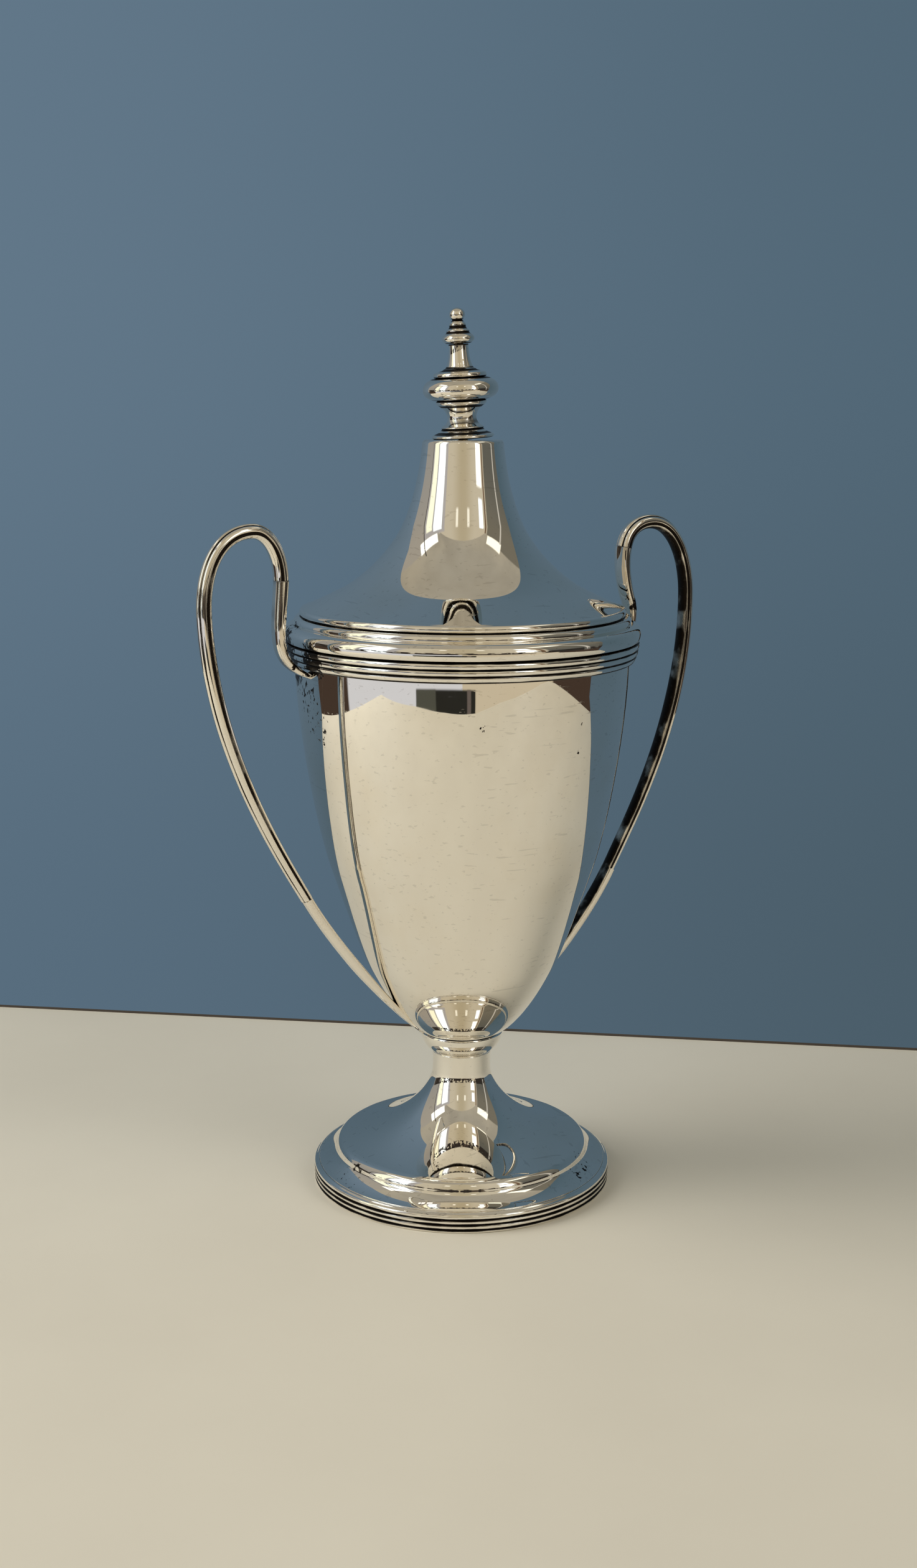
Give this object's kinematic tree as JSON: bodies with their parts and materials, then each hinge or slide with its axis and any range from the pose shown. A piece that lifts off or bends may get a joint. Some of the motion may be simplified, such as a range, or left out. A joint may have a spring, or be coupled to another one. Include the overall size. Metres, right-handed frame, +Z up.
{
  "type": "cup trophy",
  "caption": "Tall silver presentation cup with two looped reeded handles, a trumpet foot and a lift-off cover with a turned finial.",
  "frame": {"origin": "centre of the foot's flat underside, on the surface the cup stands on", "axes": "+Z up through the finial, +X towards one handle, +Y towards the plain back of the bowl"},
  "size_m": [0.1872, 0.1202, 0.3],
  "materials": {
    "polished_silver": "bright polished sterling silver with hairline scratches and dark tarnish in the grooves",
    "worn_silver": "polished sterling silver, more tarnished and softly worn from handling",
    "brass_fittings": "plain turned brass, dull"
  },
  "bodies": {
    "cup": {"foot_rim": "polished_silver", "foot": "polished_silver", "stem_collar": "polished_silver", "bowl": "polished_silver", "rim_band": "polished_silver", "handle_left_lower_end": "worn_silver", "handle_left_strap": "worn_silver", "handle_left_upper_end": "worn_silver", "handle_right_lower_end": "worn_silver", "handle_right_strap": "worn_silver", "handle_right_upper_end": "worn_silver"},
    "cover": {"cover_shell": "polished_silver", "cover_rim": "polished_silver", "cover_bezel": "polished_silver", "finial_base": "worn_silver", "finial_spool": "worn_silver", "finial_knop": "worn_silver", "finial_spindle": "worn_silver", "finial_tip": "worn_silver", "finial_stud": "brass_fittings", "finial_washer": "brass_fittings", "finial_nut": "brass_fittings"}
  },
  "joints": [
    {"name": "cover_lift", "type": "slide", "parent": "cup", "child": "cover", "axis": [0, 0, 1], "range_m": [0, 0.06]}
  ]
}
